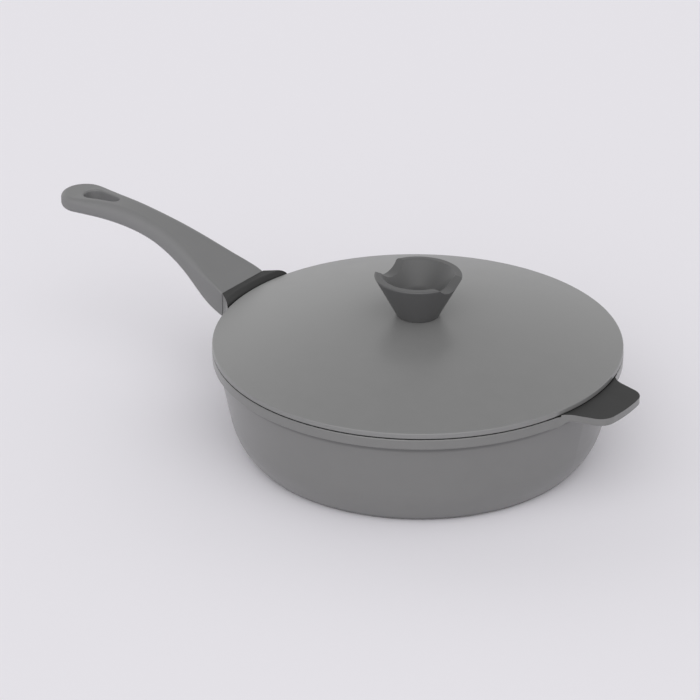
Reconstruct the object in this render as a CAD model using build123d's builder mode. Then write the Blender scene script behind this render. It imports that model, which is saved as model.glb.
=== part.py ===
from build123d import *
import os
from math import cos, radians, sin, tan

# Saute pan with lid, in millimetres. The origin is the centre of the base, on the surface the
# pan stands on. +Z is up, the helper tab points along +X and the long handle along -X.

# Vessel, a casting turned about Z
rim_radius = 143.2          # outside of the band round the mouth
rim_height = 7.5            # height of that band
rim_overhang = 3.8          # band beyond the wall under it
pan_height = 74.0           # rim top above the surface it stands on
wall_thickness = 2.8
wall_slope = 11.0           # degrees the straight wall leans out
heel_height = 25.0          # where the straight wall turns into the rounded heel
base_inset = 25.0           # flat underside ends this far inside the band
floor_thickness = 4.8
floor_inset = 36.2          # flat part of the inside ends this far inside the band
foot_lift = 0.4             # cast underside above the face of the steel plate
foot_fillet = 1.8
band_fillet = 1.0           # outer edges of the band
band_hollow = 1.4           # where the band's underside meets the wall

# Steel plate pressed into the underside
plate_inset = 22.2          # from the edge of the flat underside
plate_thickness = 1.8
plate_gap = 0.1
plate_ring_width = 1.6      # turned ring grooves in its face
plate_ring_depth = 0.4
plate_ring_count = 6

# Helper tab, cast with the rim
tab_reach = 27.4            # beyond the rim band
tab_root_half_width = 30.8  # where its sides run into the band
tab_end_half_width = 23.9   # its sides carried on to the square end
tab_corner = 12.3
tab_bow = 2.4               # the end bows out by this in its middle
tab_root_blend = 14.5       # hollow sweep into the band
tab_thickness = 5.5
tab_lift = 1.4              # its flat top stands this far above the rim
tab_fillet = 1.0            # lower edges

# Handle boss, cast with the rim
boss_reach = 10.4           # handle face beyond the rim band
boss_half_width = 24.2      # at the handle face
boss_flare = 0.83           # sideways growth for each millimetre towards the pan
boss_rise = 6.2             # its top stands above the rim
boss_depth = 19.3           # height of the face that meets the handle
boss_root_drop = 12.0       # underside falls this far on its way to the wall
boss_shoulder = 4.5         # round edge that falls towards the lid
lid_room_gap = 1.2          # hollow faces of boss and tab round the edge of the lid
tongue_length = 21.0
tongue_half_width = 13.0
tongue_thickness = 7.0
tongue_slope = 20.0         # degrees the tongue climbs away from the pan
tongue_drop = 8.7           # tongue middle below the top of the boss face

# Long handle, moulded
handle_length = 165.6       # from the boss face to the tip
handle_rise = 35.0          # highest part of the grip above the top of the boss face
joint_gap = 0.35            # open joint line between boss and handle
waist_half_width = 12.5
grip_half_width = 17.6      # rounded end
grip_thickness = 11.2       # rounded end
socket_gap = 0.3

# Handle stations: reach along the handle, flare left from the boss width, swell gained towards
# the grip width, rise, extra depth left from the boss depth, corner rounding of the half depth
handle_shares = (
    (0.00, 1.00, 0.00, 0.000, 1.00, 0.17),
    (0.08, 0.90, 0.00, 0.154, 1.14, 0.24),
    (0.17, 0.70, 0.00, 0.323, 1.04, 0.42),
    (0.26, 0.47, 0.00, 0.506, 0.85, 0.64),
    (0.35, 0.27, 0.00, 0.666, 0.72, 0.80),
    (0.46, 0.09, 0.00, 0.809, 0.52, 0.88),
    (0.58, 0.00, 0.00, 0.914, 0.39, 0.92),
    (0.70, 0.00, 0.03, 0.980, 0.37, 0.92),
    (0.82, 0.00, 0.25, 0.998, 0.29, 0.90),
    (0.92, 0.00, 0.68, 0.983, 0.12, 0.82),
    (1.00, 0.00, 1.00, 0.966, 0.00, 0.70),
)

# Hanging hole through the grip end
hole_tip_wall = 19.1        # from the tip to the far end of the hole
hole_length = 31.0
hole_outer_radius = 7.8
hole_inner_radius = 4.3
hole_edge_fillet = 1.2
level_share = 0.5           # faces that lean less than this count as walls

# Fasteners
screw_radius = 2.5
screw_head_radius = 4.4
screw_head_height = 2.8
screw_head_fillet = 0.9
screw_socket_radius = 1.5   # six-sided driving recess, across its corners
screw_socket_depth = 1.6
washer_radius = 4.8
washer_thickness = 1.0
hole_gap = 0.3              # clearance hole beyond a shank
thread_gap = 0.05           # flank clearance where a screw holds
head_gap = 0.5              # counterbore beyond a washer
handle_screw_reach = 11.0   # along the tongue from the boss face
handle_screw_ledge = 2.8    # handle wall squeezed between washer and tongue

# Lid, a casting turned about Z
lid_setback = 0.2           # its edge inside the edge of the band
lid_edge_height = 4.0
lid_thickness = 2.8
lid_rise = 19.2             # dome above the edge
lid_gap = 0.3               # lid above the rim while it is shut
lid_edge_fillet = 1.0
lip_clearance = 0.8         # centring lip inside the mouth
lip_depth = 5.0
lip_thickness = 2.4
lip_fillet = 0.8
pad_radius = 11.0
pad_drop = 2.0              # screw pad under the dome

# Knob, moulded, turned about Z, with a rest grooved across its top
knob_height = 30.5
knob_base_radius = 14.6
knob_top_radius = 31.0
knob_rim_width = 5.3
knob_dish_depth = 16.0
knob_dish_base = 12.0       # radius of the flat floor of the dish
knob_dish_fillet = 5.0
knob_rim_fillet = 0.9
knob_base_fillet = 0.8
groove_depth = 6.5          # resting groove below the knob rim
groove_half_width = 13.8    # at the rim

# Brass insert moulded into the knob
insert_radius = 4.6
insert_length = 12.0
insert_waist_depth = 0.8    # ring groove that the moulding grips
insert_waist_width = 4.0
insert_gap = 0.05

overrun = 5.0               # cuts and joined roots pass this far beyond a surface

os.makedirs("parts", exist_ok=True)

# Places worked out from the sizes above
band_floor = pan_height - rim_height
wall_lean = tan(radians(wall_slope))
wall_top_radius = rim_radius - rim_overhang
heel_top_radius = wall_top_radius - (band_floor - heel_height) * wall_lean
mouth_radius = wall_top_radius - wall_thickness
floor_top = plate_thickness + floor_thickness
handle_face = -(rim_radius + boss_reach)
boss_top = pan_height + boss_rise
boss_bottom = boss_top - boss_depth
boss_root = boss_bottom - boss_root_drop
wall_at_boss_root = heel_top_radius + (boss_root - heel_height) * wall_lean
base_radius = rim_radius - base_inset
floor_radius = rim_radius - floor_inset
plate_radius = base_radius - plate_inset
handle_root = handle_face - joint_gap
tongue_sine = sin(radians(tongue_slope))
tongue_cosine = cos(radians(tongue_slope))
tongue_plane = Plane(
    origin=(handle_face, 0, boss_top - tongue_drop),
    x_dir=(-tongue_cosine, 0, tongue_sine),
    z_dir=(0, 1, 0),
)
socket_half_thickness = tongue_thickness / 2 + socket_gap
handle_washer_seat = socket_half_thickness + handle_screw_ledge
handle_screw_plane = Plane(
    origin=tongue_plane.from_local_coords((handle_screw_reach, -handle_washer_seat, 0)),
    x_dir=tongue_plane.x_dir,
    z_dir=(tongue_sine, 0, tongue_cosine),
)
lid_radius = rim_radius - lid_setback
lid_seat = pan_height + lid_gap
dome_edge = lid_seat + lid_edge_height
dome_radius = (lid_radius ** 2 + lid_rise ** 2) / (2 * lid_rise)
dome_centre = dome_edge + lid_rise - dome_radius
knob_seat = dome_centre + (dome_radius ** 2 - knob_base_radius ** 2) ** (1 / 2)
knob_top = knob_seat + knob_height
pad_face = dome_edge + lid_rise - lid_thickness - pad_drop


# Vessel with its rim band, helper tab, handle boss and tongue
with BuildPart() as pan_body:
    # Helper tab: its plan is swept into the band, its flat top stands above the rim
    tab_end = rim_radius + tab_reach
    tab_top = pan_height + tab_lift
    tab_under = tab_top - tab_thickness
    tab_taper = (tab_root_half_width - tab_end_half_width) / tab_reach
    tab_inner_half_width = tab_root_half_width + tab_taper * (rim_radius - mouth_radius)
    with BuildSketch(Plane.XY.offset(band_floor)) as tab_plan:
        Circle(rim_radius)
        with BuildLine():
            end_arc = ThreePointArc(
                (tab_end - tab_bow, -tab_end_half_width),
                (tab_end, 0),
                (tab_end - tab_bow, tab_end_half_width),
            )
            Polyline(
                end_arc @ 1,
                (mouth_radius, tab_inner_half_width),
                (mouth_radius, -tab_inner_half_width),
                end_arc @ 0,
            )
        make_face()
        end_corners = tab_plan.vertices().sort_by(Axis.X)
        fillet(end_corners[-2:], radius=tab_corner)
        root_corners = tab_plan.vertices().filter_by_position(
            Axis.X, mouth_radius, rim_radius, inclusive=(False, False)
        )
        fillet(root_corners, radius=tab_root_blend)
        with Locations((tab_end, 0)):
            Rectangle(2 * (tab_end - mouth_radius), 2 * rim_radius, mode=Mode.INTERSECT)
    extrude(amount=rim_height + tab_lift)
    with BuildSketch(Plane.XZ) as tab_profile:
        with BuildLine():
            Polyline(
                (0, tab_top),
                (tab_end, tab_top),
                (tab_end, tab_under),
                (rim_radius, tab_under),
                (wall_top_radius, band_floor),
                (0, band_floor),
                close=True,
            )
        make_face()
    extrude(amount=rim_radius, both=True, mode=Mode.INTERSECT)
    tab_underside = pan_body.faces().sort_by_distance((tab_end - tab_corner, 0, tab_under))[0]
    fillet(tab_underside.edges().sort_by(Axis.X)[1:], radius=tab_fillet)

    # Handle boss: it widens towards the wall, and its underside falls to the wall
    boss_inner = mouth_radius - boss_reach
    boss_inner_half_width = boss_half_width + boss_flare * (-handle_face - boss_inner)
    with BuildSketch(Plane.XY.offset(boss_root)) as boss_plan:
        with BuildLine():
            Polyline(
                (handle_face, -boss_half_width),
                (-boss_inner, -boss_inner_half_width),
                (-boss_inner, boss_inner_half_width),
                (handle_face, boss_half_width),
                close=True,
            )
        make_face()
    extrude(amount=boss_top - boss_root)
    with BuildSketch(Plane.XZ) as boss_trim:
        with BuildLine():
            Polyline(
                (handle_face, boss_bottom),
                (-wall_at_boss_root, boss_root),
                (-wall_at_boss_root, boss_root - overrun),
                (handle_face - overrun, boss_root - overrun),
                (handle_face - overrun, boss_bottom),
                close=True,
            )
        make_face()
    extrude(amount=rim_radius, both=True, mode=Mode.SUBTRACT)

    # Outer form of the vessel
    with BuildSketch(Plane.XZ) as vessel_section:
        with BuildLine():
            wall = Line((heel_top_radius, heel_height), (wall_top_radius, band_floor))
            heel = TangentArc(wall @ 0, (base_radius, foot_lift), tangent=wall % 0 * -1)
            Polyline(
                wall @ 1,
                (rim_radius, band_floor),
                (rim_radius, pan_height),
                (0, pan_height),
                (0, foot_lift),
                heel @ 1,
            )
        make_face()
        band_corners = vessel_section.vertices().sort_by(Axis.X)
        fillet(band_corners[-2:], radius=band_fillet)
        under_band = vessel_section.vertices().sort_by_distance((wall_top_radius, band_floor))
        fillet(under_band[0], radius=band_hollow)
        foot_corner = vessel_section.vertices().sort_by_distance((base_radius, foot_lift))
        fillet(foot_corner[0], radius=foot_fillet)
    revolve(axis=Axis.Z)

    # Room for the lid inside the boss and the tab; the boss rounds down towards it
    lid_room_radius = rim_radius + lid_room_gap
    with BuildSketch(Plane.XY.offset(pan_height)) as lid_room:
        Circle(lid_room_radius)
    extrude(amount=boss_rise + overrun, mode=Mode.SUBTRACT)
    shoulder = pan_body.edges().sort_by_distance((-lid_room_radius, 0, boss_top))[0]
    fillet(shoulder, radius=boss_shoulder)

    # Cavity
    with BuildSketch(Plane.XZ) as cavity_section:
        with BuildLine():
            inner_wall = Line(
                (mouth_radius, band_floor),
                (heel_top_radius - wall_thickness, heel_height),
            )
            inner_heel = TangentArc(
                inner_wall @ 1, (floor_radius, floor_top), tangent=inner_wall % 1
            )
            Polyline(
                inner_heel @ 1,
                (0, floor_top),
                (0, boss_top + overrun),
                (mouth_radius, boss_top + overrun),
                inner_wall @ 0,
            )
        make_face()
    revolve(axis=Axis.Z, mode=Mode.SUBTRACT)

    # Recess for the steel plate
    with BuildSketch(Plane.XY) as recess:
        Circle(plate_radius + plate_gap)
    extrude(amount=plate_thickness, mode=Mode.SUBTRACT)

    # Tongue that carries the long handle, tapped from below
    with BuildSketch(tongue_plane) as tongue:
        with Locations(((tongue_length - boss_reach) / 2, 0)):
            Rectangle(tongue_length + boss_reach, tongue_thickness)
    extrude(amount=tongue_half_width, both=True)
    with BuildSketch(handle_screw_plane) as tapped_hole:
        Circle(screw_radius + thread_gap)
    extrude(amount=handle_washer_seat + socket_half_thickness, mode=Mode.SUBTRACT)

pan_body.part.label = "pan_body"
export_step(pan_body.part, "parts/pan_body.step")

# Steel plate for induction hobs, its face turned with shallow rings
with BuildPart() as induction_plate:
    Cylinder(plate_radius, plate_thickness, align=(Align.CENTER, Align.CENTER, Align.MIN))
    ring_pitch = plate_radius / (plate_ring_count + 1)
    with BuildSketch(Plane.XZ) as ring_cuts:
        with Locations([(ring_pitch * (ring + 1), 0) for ring in range(plate_ring_count)]):
            Rectangle(plate_ring_width, 2 * plate_ring_depth)
    revolve(axis=Axis.Z, mode=Mode.SUBTRACT)

induction_plate.part.label = "induction_plate"
export_step(induction_plate.part, "parts/induction_plate.step")

# Long handle, lofted through rounded sections that stand square to X, with a turned tip
handle_run = handle_length - joint_gap - grip_half_width
tip_centre = handle_root - handle_run
with BuildPart() as handle_grip:
    for reach, flare, swell, rise, deep, corner in handle_shares:
        half_width = (
            waist_half_width
            + flare * (boss_half_width - waist_half_width)
            + swell * (grip_half_width - waist_half_width)
        )
        depth = grip_thickness + deep * (boss_depth - grip_thickness)
        section_top = boss_top + rise * handle_rise
        with BuildSketch(Plane.YZ.offset(handle_root - reach * handle_run)) as section:
            with Locations((0, section_top - depth / 2)):
                RectangleRounded(2 * half_width, depth, corner * depth / 2)
    loft()

    # The last section, half of it turned about its middle, is the rounded tip
    with BuildSketch(Plane.YZ.offset(tip_centre)) as tip_half:
        add(section.sketch_local)
        with Locations((-half_width, section_top)):
            Rectangle(2 * half_width, 3 * depth, mode=Mode.SUBTRACT)
    revolve(axis=Axis((tip_centre, 0, 0), (0, 0, 1)), revolution_arc=180)

    # Hanging hole, wide towards the tip
    hole_far = handle_face - handle_length + hole_tip_wall + hole_outer_radius
    hole_near = hole_far + hole_length - hole_outer_radius - hole_inner_radius
    with BuildSketch(Plane.XY.offset(boss_top)) as hanging_hole:
        with Locations((hole_far, 0)):
            Circle(hole_outer_radius)
        with Locations((hole_near, 0)):
            Circle(hole_inner_radius)
        make_hull()
    extrude(amount=handle_rise + overrun, mode=Mode.SUBTRACT)
    hole_walls = handle_grip.faces(Select.LAST).filter_by(
        lambda face: abs(face.normal_at().Z) < level_share
    )
    hole_edges = hole_walls.edges().filter_by(Axis.Z, reverse=True)
    fillet(hole_edges, radius=hole_edge_fillet)

    # Socket for the tongue, and the screw's way in from below
    with BuildSketch(tongue_plane) as socket:
        with Locations(((tongue_length + socket_gap - overrun) / 2, 0)):
            Rectangle(tongue_length + socket_gap + overrun, 2 * socket_half_thickness)
    extrude(amount=tongue_half_width + socket_gap, both=True, mode=Mode.SUBTRACT)
    with BuildSketch(handle_screw_plane) as screw_hole:
        Circle(screw_radius + hole_gap)
    extrude(amount=handle_screw_ledge + socket_gap, mode=Mode.SUBTRACT)
    with BuildSketch(handle_screw_plane) as counterbore:
        Circle(washer_radius + head_gap)
    extrude(amount=-boss_depth, mode=Mode.SUBTRACT)

handle_grip.part.label = "handle_grip"
export_step(handle_grip.part, "parts/handle_grip.step")


# Round-headed machine screw: its head sits on the seat plane and its shank follows the normal
def machine_screw(seat, length):
    with BuildPart() as screw:
        with BuildSketch(seat) as shank:
            Circle(screw_radius)
        extrude(amount=length)
        with BuildSketch(seat) as head:
            Circle(screw_head_radius)
        extrude(amount=-screw_head_height)
        head_rim = screw.faces().sort_by(Axis(seat.origin, seat.z_dir))[0].edges()
        fillet(head_rim, radius=screw_head_fillet)
        with BuildSketch(seat.offset(-screw_head_height)) as recess:
            RegularPolygon(screw_socket_radius, 6)
        extrude(amount=screw_socket_depth, mode=Mode.SUBTRACT)
    return screw


# Plain washer whose upper face lies on the seat plane
def plain_washer(seat):
    with BuildPart() as washer:
        with BuildSketch(seat) as ring:
            Circle(washer_radius)
            Circle(screw_radius + hole_gap, mode=Mode.SUBTRACT)
        extrude(amount=-washer_thickness)
    return washer


handle_screw_length = washer_thickness + handle_screw_ledge + socket_gap + tongue_thickness
handle_screw = machine_screw(handle_screw_plane.offset(-washer_thickness), handle_screw_length)
handle_screw.part.label = "handle_screw"
export_step(handle_screw.part, "parts/handle_screw.step")

handle_washer = plain_washer(handle_screw_plane)
handle_washer.part.label = "handle_washer"
export_step(handle_washer.part, "parts/handle_washer.step")


# Height of the dome at a radius, measured a depth under its outside
def dome_height(radius, depth):
    return dome_centre + ((dome_radius - depth) ** 2 - radius ** 2) ** (1 / 2)


# Lid: dome, square edge, centring lip and screw pad as one turned profile
lip_outer = mouth_radius - lip_clearance
lip_inner = lip_outer - lip_thickness
with BuildPart() as lid:
    with BuildSketch(Plane.XZ) as lid_section:
        with BuildLine():
            outside = ThreePointArc(
                (knob_base_radius, knob_seat),
                (lid_radius / 2, dome_height(lid_radius / 2, 0)),
                (lid_radius, dome_edge),
            )
            inside = ThreePointArc(
                (pad_radius, dome_height(pad_radius, lid_thickness)),
                (lip_inner / 2, dome_height(lip_inner / 2, lid_thickness)),
                (lip_inner, dome_height(lip_inner, lid_thickness)),
            )
            Polyline(
                outside @ 1,
                (lid_radius, lid_seat),
                (lip_outer, lid_seat),
                (lip_outer, lid_seat - lip_depth),
                (lip_inner, lid_seat - lip_depth),
                inside @ 1,
            )
            Polyline(
                inside @ 0,
                (pad_radius, pad_face),
                (0, pad_face),
                (0, knob_seat),
                outside @ 0,
            )
        make_face()
        rim_corners = lid_section.vertices().sort_by(Axis.X)[-2:]
        fillet(rim_corners, radius=lid_edge_fillet)
        lip_corners = lid_section.vertices().sort_by(Axis.Y)[:2]
        fillet(lip_corners, radius=lip_fillet)
    revolve(axis=Axis.Z)
    with BuildSketch(Plane.XY.offset(pad_face)) as lid_hole:
        Circle(screw_radius + hole_gap)
    extrude(amount=knob_seat - pad_face, mode=Mode.SUBTRACT)

lid.part.label = "lid"
export_step(lid.part, "parts/lid.step")

# Knob: a cone that widens upwards, a dish in its top and a groove across it
with BuildPart() as knob:
    with BuildSketch(Plane.XZ) as knob_section:
        with BuildLine():
            Polyline(
                (0, knob_seat),
                (knob_base_radius, knob_seat),
                (knob_top_radius, knob_top),
                (knob_top_radius - knob_rim_width, knob_top),
                (knob_dish_base, knob_top - knob_dish_depth),
                (0, knob_top - knob_dish_depth),
                (0, knob_seat),
            )
        make_face()
        by_reach = knob_section.vertices().sort_by(Axis.X)
        fillet(by_reach[-2:], radius=knob_rim_fillet)
        dish_corner = knob_section.vertices().sort_by_distance(
            (knob_dish_base, knob_top - knob_dish_depth)
        )[0]
        fillet(dish_corner, radius=knob_dish_fillet)
        base_corner = knob_section.vertices().sort_by_distance((knob_base_radius, knob_seat))[0]
        fillet(base_corner, radius=knob_base_fillet)
    revolve(axis=Axis.Z)

    # Groove across the rim along X, a rest with a round bottom
    groove_radius = (groove_half_width ** 2 + groove_depth ** 2) / (2 * groove_depth)
    with BuildSketch(Plane.YZ) as groove:
        with Locations((0, knob_top - groove_depth + groove_radius)):
            Circle(groove_radius)
    extrude(amount=knob_top_radius + overrun, both=True, mode=Mode.SUBTRACT)

    # Blind pocket that the insert fills
    with BuildSketch(Plane.XY.offset(knob_seat)) as pocket:
        Circle(insert_radius + insert_gap)
    extrude(amount=insert_length + insert_gap, mode=Mode.SUBTRACT)

knob.part.label = "knob"
export_step(knob.part, "parts/knob.step")

# Threaded brass insert, waisted so that the moulding holds it
waist_middle = knob_seat + insert_length / 2
with BuildPart() as knob_insert:
    with BuildSketch(Plane.XZ) as insert_section:
        with Locations((screw_radius + thread_gap, knob_seat)):
            Rectangle(
                insert_radius - screw_radius - thread_gap,
                insert_length,
                align=(Align.MIN, Align.MIN),
            )
        with Locations((insert_radius, waist_middle)):
            Rectangle(2 * insert_waist_depth, insert_waist_width, mode=Mode.SUBTRACT)
    revolve(axis=Axis.Z)

knob_insert.part.label = "knob_insert"
export_step(knob_insert.part, "parts/knob_insert.step")

# Screw and washer that hold the knob from inside the lid
knob_screw_length = washer_thickness + knob_seat - pad_face + insert_length * 2 / 3
knob_screw = machine_screw(Plane.XY.offset(pad_face - washer_thickness), knob_screw_length)
knob_screw.part.label = "knob_screw"
export_step(knob_screw.part, "parts/knob_screw.step")

knob_washer = plain_washer(Plane.XY.offset(pad_face))
knob_washer.part.label = "knob_washer"
export_step(knob_washer.part, "parts/knob_washer.step")
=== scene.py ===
import bpy
import numpy as np
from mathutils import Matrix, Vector

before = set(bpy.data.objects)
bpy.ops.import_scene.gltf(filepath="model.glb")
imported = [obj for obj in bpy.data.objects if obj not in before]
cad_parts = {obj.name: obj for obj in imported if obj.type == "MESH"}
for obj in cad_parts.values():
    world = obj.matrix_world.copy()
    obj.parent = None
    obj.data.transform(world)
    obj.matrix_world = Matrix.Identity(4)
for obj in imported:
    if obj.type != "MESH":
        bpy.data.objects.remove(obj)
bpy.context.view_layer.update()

# Studio: a plain pale floor that runs out of view, and a sky of seven wide soft panels of light.
# The strongest stand near the camera, and weaker ones stand low behind the pan.
floor_half = 40.0
floor_colour = (0.836, 0.819, 0.862)
panel_colour = (1.0, 1.0, 1.0)
panel_sharpness = 4.0
# Each panel: its bearing from +X in degrees, its height in degrees, its strength.
panel_table = (
    (270.0, 10.0, 1.31),
    (300.0, 30.0, 0.98),
    (330.0, 50.0, 1.31),
    (180.0, 10.0, 0.88),
    (150.0, 10.0, 0.88),
    (90.0, 10.0, 0.52),
    (60.0, 10.0, 0.87),
)


class Wire:
    """A shader socket. Operators between wires and numbers add one Math node each, and node()
    adds any other node to the same tree."""

    def __init__(self, tree, socket=None):
        self.tree, self.socket = tree, socket

    def node(self, kind, out=0, settings=None, **inputs):
        """Adds a node: its settings first, then socket values or wires, by the socket's name
        with _ for a space, or by its number as i0, i1 and so on."""
        made = self.tree.nodes.new("ShaderNode" + kind)
        for name, value in (settings or {}).items():
            setattr(made, name, value)
        for name, value in inputs.items():
            numbered = name[0] == "i" and name[1:].isdigit()
            key = int(name[1:]) if numbered else name.replace("_", " ")
            if isinstance(value, Wire):
                self.tree.links.new(value.socket, made.inputs[key])
            else:
                made.inputs[key].default_value = value
        return Wire(self.tree, made.outputs[out])

    def maths(self, operation, first, second=0.0):
        return self.node("Math", settings={"operation": operation}, i0=first, i1=second)

    def __add__(self, other):
        return self.maths("ADD", self, other)

    def __radd__(self, other):
        return self.maths("ADD", other, self)

    def __sub__(self, other):
        return self.maths("SUBTRACT", self, other)

    def __rsub__(self, other):
        return self.maths("SUBTRACT", other, self)

    def __mul__(self, other):
        return self.maths("MULTIPLY", self, other)

    def __rmul__(self, other):
        return self.maths("MULTIPLY", other, self)

    def __pow__(self, other):
        return self.maths("POWER", self, other)

    def __rpow__(self, other):
        return self.maths("POWER", other, self)

    def above(self, level):
        return self.maths("GREATER_THAN", self, level)

    def either(self, other):
        return self.maths("MAXIMUM", self, other)

    def vector(self, operation, first, second=(0, 0, 0), out="Vector"):
        """A Vector Math node. A dot product or a length comes out of its Value socket."""
        return self.node(
            "VectorMath", out=out, settings={"operation": operation}, i0=first, i1=second
        )

    def plug_into(self, output):
        """Makes this shader the surface of a material's or the world's output node."""
        self.tree.links.new(self.socket, output.inputs["Surface"])


def new_finish(name):
    """An empty material: returns it with a wire to build its nodes on and its output node."""
    finish = bpy.data.materials.new(name)
    finish.use_nodes = True
    finish.node_tree.nodes.clear()
    output = finish.node_tree.nodes.new("ShaderNodeOutputMaterial")
    return finish, Wire(finish.node_tree), output


corners = np.array([(-1, -1, 0), (1, -1, 0), (1, 1, 0), (-1, 1, 0)]) * floor_half
floor_mesh = bpy.data.meshes.new("floor")
floor_mesh.from_pydata(corners.tolist(), [], [(0, 1, 2, 3)])
floor = bpy.data.objects.new("floor", floor_mesh)
bpy.context.scene.collection.objects.link(floor)
pale_floor, wire, output = new_finish("pale_floor")
wire.node("BsdfDiffuse", Color=(*floor_colour, 1)).plug_into(output)
floor_mesh.materials.append(pale_floor)

# The sky's strength in a direction is a sum over the panels: each one's strength times the cosine
# of the angle to its centre, raised to panel_sharpness.
sky = bpy.data.worlds.new("sky")
sky.use_nodes = True
sky.node_tree.nodes.clear()
wire = Wire(sky.node_tree)
direction = wire.node("TexCoord", out="Generated")
level = 0.0
for bearing, height, strength in panel_table:
    turn, climb = np.radians(bearing), np.radians(height)
    centre = (np.cos(climb) * np.cos(turn), np.cos(climb) * np.sin(turn), np.sin(climb))
    nearness = wire.vector("DOT_PRODUCT", direction, centre, out="Value")
    level = level + nearness.either(0.0) ** panel_sharpness * strength
sky_output = sky.node_tree.nodes.new("ShaderNodeOutputWorld")
wire.node("Background", Color=(*panel_colour, 1), Strength=level).plug_into(sky_output)
bpy.context.scene.world = sky

# Camera: a long lens on the helper tab's side of the pan, two metres off, looking down by 26
# degrees. Place in metres, aim as a direction, sensor and lens in millimetres.
camera_place = (1.0933, -1.5907, 1.0178)
camera_aim = (-0.52627, 0.72702, -0.44104)
sensor_width = 36.0
lens_length = 158.45
camera_data = bpy.data.cameras.new("camera")
camera_data.sensor_width = sensor_width
camera_data.lens = lens_length
camera = bpy.data.objects.new("camera", camera_data)
camera.location = camera_place
camera.rotation_mode = "QUATERNION"
camera.rotation_quaternion = Vector(camera_aim).to_track_quat("-Z", "Y")
bpy.context.scene.collection.objects.link(camera)
bpy.context.scene.camera = camera
bpy.context.scene.view_settings.view_transform = "Standard"

# Pan body: one aluminium casting, sprayed and baked. A matt grey coat covers its outside, and a
# darker charcoal non-stick coat the inside, the rim's top, the helper tab's top and the boss's
# top. Painted shade darkens the grey under the band and round the foot, where shade falls in
# these corners.
# pan_grey is darker than lid_grey though pan and lid have the same coat: the difference is
# painted shade on the pan's side walls against the lid's lit top.
pan_grey = (0.161, 0.161, 0.159)
pan_gloss = 0.36
pan_clear_share = 0.40
clear_gloss = 0.17
charcoal = (0.024, 0.024, 0.024)
charcoal_gloss = 0.52
charcoal_shine = 0.28
coat_refraction = 1.5
# How dark the painted shade under the band and round the foot makes the grey.
painted_shade_tone = 0.66
# Each noise: its features to the metre, its octaves, and how rough they make it.
mottle_noise = (60.0, 3.0, 0.6)
grain_noise = (1500.0, 2.0, 0.5)
peel_noise = (700.0, 2.0, 0.55)
noise_middle = 0.5
mottle_depth = 0.04
mottle_gloss = 0.08
grain_depth = 0.2
# Each bump: its strength, and its height in metres.
peel_bump = (0.06, 0.0002)


def dress(node, finish):
    """Gives a piece of the frame its finish."""
    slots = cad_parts[node].data.materials
    slots.clear()
    slots.append(finish)


def scaled(colour, factor):
    """A colour made lighter or darker by a factor."""
    return [channel * factor for channel in colour]


def blended(wire, share, low, high):
    """A colour between two colours or colour wires by a share."""
    low, high = [end if isinstance(end, Wire) else (*end, 1) for end in (low, high)]
    return wire.node(
        "Mix", out=2, settings={"data_type": "RGBA"}, Factor=share, i6=low, i7=high
    )


def varied(wire, pattern, colour, depth):
    """A colour that a pattern makes lighter and darker by a depth."""
    return blended(wire, pattern, scaled(colour, 1 - depth), scaled(colour, 1 + depth))


def noise(wire, place, kind):
    """A noise over the object's own coordinates."""
    scale, octaves, roughness = kind
    return wire.node(
        "TexNoise", out="Fac", Vector=place, Scale=scale, Detail=octaves, Roughness=roughness
    )


def swing(pattern, depth):
    """A noise's swing to both sides of nothing, by a depth."""
    return (pattern - noise_middle) * depth


def bumped(wire, pattern, kind):
    """The surface's direction over a pattern's small bumps."""
    strength, height = kind
    return wire.node("Bump", Strength=strength, Distance=height, Height=pattern)


def height_of(wire, vector):
    """The Z part of a place or of a direction."""
    return wire.node("SeparateXYZ", out="Z", Vector=vector)


def reach_of(wire, place):
    """How far a place is from the Z axis."""
    return wire.vector("LENGTH", wire.vector("MULTIPLY", place, (1, 1, 0)), out="Value")


def sprayed_coat(name, grey, grey_gloss, clear_share, charcoal_mask, painted_shade_mask=None):
    """A matt sprayed and baked coat in two tones. charcoal_mask works on the wire, the place and
    the surface's direction, and gives 1 where the charcoal coat is. The grey film has a faint
    mottle some centimetres wide, the charcoal one a fine grain, and both an orange-peel skin of
    about a millimetre. clear_share is how far a clear top film closes over the grey, and
    painted_shade_mask gives 1 where painted shade darkens the grey."""
    finish, wire, output = new_finish(name)
    place = wire.node("TexCoord", out="Object")
    facing = wire.node("TexCoord", out="Normal")
    mottle = noise(wire, place, mottle_noise)
    grain = noise(wire, place, grain_noise)
    skin = bumped(wire, noise(wire, place, peel_noise), peel_bump)
    drift = swing(mottle, mottle_gloss)
    grey_tone = varied(wire, mottle, grey, mottle_depth)
    # Painted shade: where the shade mask gives 1, the grey darkens to a fixed share of its tone.
    if painted_shade_mask:
        grey_tone = blended(wire, painted_shade_mask(wire, place), grey_tone, scaled(grey, painted_shade_tone))
    grey_coat = wire.node(
        "BsdfPrincipled", Base_Color=grey_tone, Roughness=grey_gloss + drift, Normal=skin,
        IOR=coat_refraction, Coat_Weight=clear_share, Coat_Roughness=clear_gloss
    )
    charcoal_coat = wire.node(
        "BsdfPrincipled", Base_Color=varied(wire, grain, charcoal, grain_depth),
        Roughness=charcoal_gloss + drift, Normal=skin, IOR=coat_refraction,
        Specular_IOR_Level=charcoal_shine
    )
    shader = wire.node(
        "MixShader", Fac=charcoal_mask(wire, place, facing), i1=grey_coat, i2=charcoal_coat
    )
    shader.plug_into(output)
    return finish


# Where the coats meet, and where the painted shade lies under the band and round the foot.
# looks_up and looks_inward are cosines, the other values metres: heights over the base, and
# corner_reach from the middle of the pan.
looks_up = 0.9
looks_inward = 0.35
inside_floor = 0.006
corner_fade = 0.0618
corner_full = 0.0634
corner_top = 0.0668
corner_reach = 0.1412
foot_fade = 0.0036
foot_full = 0.0024


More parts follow.
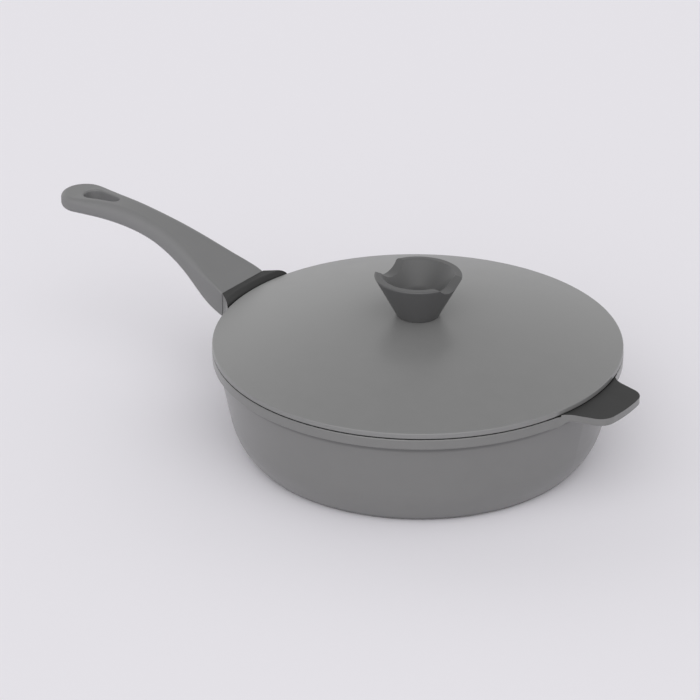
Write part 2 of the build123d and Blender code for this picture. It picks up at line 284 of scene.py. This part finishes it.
def pan_charcoal_mask(wire, place, facing):
    """1 where the surface looks up, or in towards the middle of the pan."""
    inward = wire.vector("NORMALIZE", wire.vector("MULTIPLY", place, (-1, -1, 0)))
    leaning = wire.vector("DOT_PRODUCT", inward, facing, out="Value")
    inside = leaning.above(looks_inward) * height_of(wire, place).above(inside_floor)
    return height_of(wire, facing).above(looks_up).either(inside)


def pan_painted_shade_mask(wire, place):
    """1 on the wall just under the band and round the foot, where painted shade darkens the grey
    for the shade that falls in these corners."""
    height = height_of(wire, place)
    corner = wire.node("MapRange", Value=height, From_Min=corner_fade, From_Max=corner_full)
    below_band = 1.0 - height.above(corner_top)
    on_wall = 1.0 - reach_of(wire, place).above(corner_reach)
    foot = wire.node("MapRange", Value=height, From_Min=foot_fade, From_Max=foot_full)
    return (corner * below_band * on_wall).either(foot)


# The pan's grey coat gets painted shade under the band and round the foot.
dress("pan_body", sprayed_coat(
    "two_tone_coat", pan_grey, pan_gloss, pan_clear_share, pan_charcoal_mask, pan_painted_shade_mask
))

# Steel plate in the base: stainless steel, pressed into the casting's underside and turned on a
# lathe, so its scratches run in circles round its middle.
plate_tone = (0.60, 0.59, 0.57)
plate_gloss = 0.34
plate_ring_scale = 1400.0
ring_octaves = 3.0
ring_noise_roughness = 0.7
ring_depth = 0.15
ring_gloss = 0.25
ring_bump = (0.25, 0.0001)
smear_noise = (40.0, 3.0, 0.5)
smear_gloss = 0.1


def turned_metal(name, tone, gloss, ring_scale):
    """Bare turned metal. Its rings are a noise that depends only on the distance from the Z
    axis, and a slow smear changes its sheen."""
    finish, wire, output = new_finish(name)
    place = wire.node("TexCoord", out="Object")
    rings = wire.node(
        "TexNoise", out="Fac", settings={"noise_dimensions": "1D"}, W=reach_of(wire, place),
        Scale=ring_scale, Detail=ring_octaves, Roughness=ring_noise_roughness
    )
    smear = noise(wire, place, smear_noise)
    shader = wire.node(
        "BsdfPrincipled", Base_Color=blended(wire, rings, scaled(tone, 1 - ring_depth), tone),
        Roughness=gloss + swing(rings, ring_gloss) + swing(smear, smear_gloss), Metallic=1.0,
        Normal=bumped(wire, rings, ring_bump)
    )
    shader.plug_into(output)
    return finish


dress("induction_plate", turned_metal("turned_plate", plate_tone, plate_gloss, plate_ring_scale))

# Long handle: a phenolic moulding with a fine spark-eroded skin, slid over the casting's tongue
# and held there by one screw from below.
handle_tone = (0.173, 0.173, 0.175)
moulding_gloss = 0.5
cloud_noise = (35.0, 2.0, 0.5)
cloud_depth = 0.05
cloud_gloss = 0.1
spark_noise = (2200.0, 2.0, 0.7)
spark_bump = (0.12, 0.0001)


def moulded(name, tone):
    """A matt moulding: a fine even grain, and a slow change of sheen over centimetres."""
    finish, wire, output = new_finish(name)
    place = wire.node("TexCoord", out="Object")
    cloud = noise(wire, place, cloud_noise)
    shader = wire.node(
        "BsdfPrincipled", Base_Color=varied(wire, cloud, tone, cloud_depth),
        Roughness=moulding_gloss + swing(cloud, cloud_gloss), IOR=coat_refraction,
        Normal=bumped(wire, noise(wire, place, spark_noise), spark_bump)
    )
    shader.plug_into(output)
    return finish


dress("handle_grip", moulded("handle_moulding", handle_tone))

# Screws and washers: plain stainless steel, turned. One pair holds the handle on its tongue from
# below, and the other goes up through the lid into the knob.
fastener_tone = (0.55, 0.55, 0.54)
fastener_gloss = 0.3
fine_ring_scale = 3000.0
fastener_steel = turned_metal("fastener_steel", fastener_tone, fastener_gloss, fine_ring_scale)
for fastener in ("handle_screw", "handle_washer", "knob_screw", "knob_washer"):
    dress(fastener, fastener_steel)

# Lid: an aluminium casting that lies loose on the rim. Its dome and edge have the same matt grey
# coat with less of the clear film, and its underside has the charcoal coat. Its grey is set
# lighter than the pan's, as painted light on the lid's top against the pan's side walls.
lid_grey = (0.199, 0.199, 0.199)
lid_gloss = 0.36
lid_clear_share = 0.08


def lid_charcoal_mask(wire, place, facing):
    """1 where the surface looks down. The place doesn't matter to it."""
    return (0.0 - height_of(wire, facing)).above(looks_up)


dress("lid", sprayed_coat("lid_coat", lid_grey, lid_gloss, lid_clear_share, lid_charcoal_mask))

# Knob: a phenolic moulding like the handle, in a darker grey, held on the middle of the lid by a
# screw from inside. The grey is darker than the handle's partly as painted shade, for the shade
# that a spoon lying over the knob casts on it.
knob_tone = (0.090, 0.090, 0.091)
dress("knob", moulded("knob_moulding", knob_tone))

# Thread insert: turned brass, moulded into the foot of the knob. The screw from inside the lid
# goes up into it.
brass_tone = (0.72, 0.50, 0.22)
brass_gloss = 0.28
dress("knob_insert", turned_metal("turned_brass", brass_tone, brass_gloss, fine_ring_scale))
